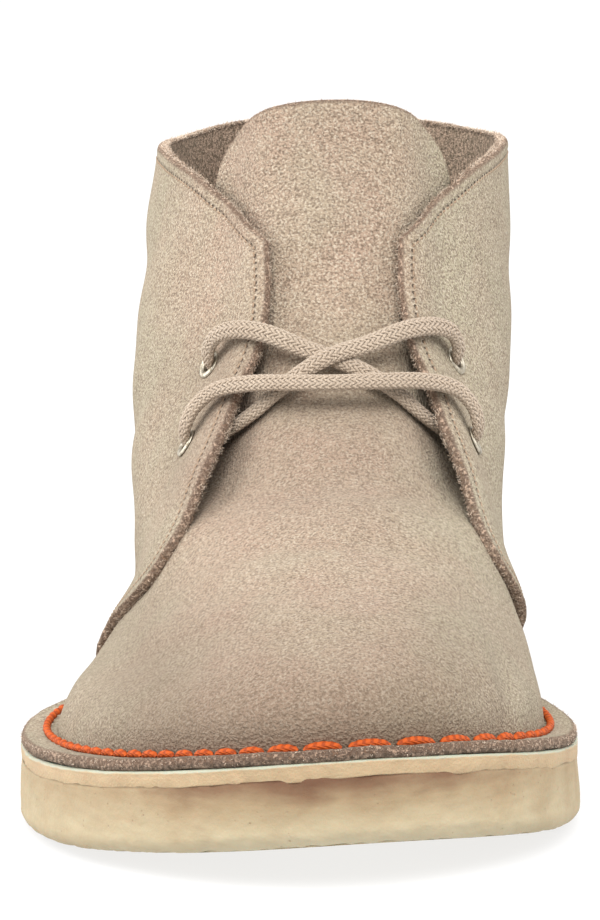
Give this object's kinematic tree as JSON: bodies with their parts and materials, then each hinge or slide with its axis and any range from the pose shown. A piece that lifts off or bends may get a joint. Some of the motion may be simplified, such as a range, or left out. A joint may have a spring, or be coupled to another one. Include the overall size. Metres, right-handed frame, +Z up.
{
  "type": "chukka boot",
  "caption": "Right-foot suede chukka boot: turned-out stitched upper with a tongue and a low open collar, short lacing, on a thick crepe sole with a low heel.",
  "frame": {"origin": "on the floor, under the middle of the boot's box", "axes": "+Y from toe to heel, +X to the inner side of the foot, +Z up"},
  "size_m": [0.1125, 0.3, 0.1416],
  "materials": {
    "crepe": "matte natural crepe",
    "heel_crepe": "matte natural crepe",
    "midsole_rubber": "matte",
    "insole_leather": "matte",
    "suede": "napped",
    "cotton": "braided",
    "eyelet_metal": "worn nickel plate"
  },
  "bodies": {
    "root": {"outsole": "crepe", "heel": "heel_crepe", "midsole": "midsole_rubber", "insole": "insole_leather", "upper": "suede", "lace": "cotton", "eyelet_upper_lateral": "eyelet_metal", "eyelet_upper_medial": "eyelet_metal", "eyelet_lower_lateral": "eyelet_metal", "eyelet_lower_medial": "eyelet_metal"}
  },
  "joints": []
}
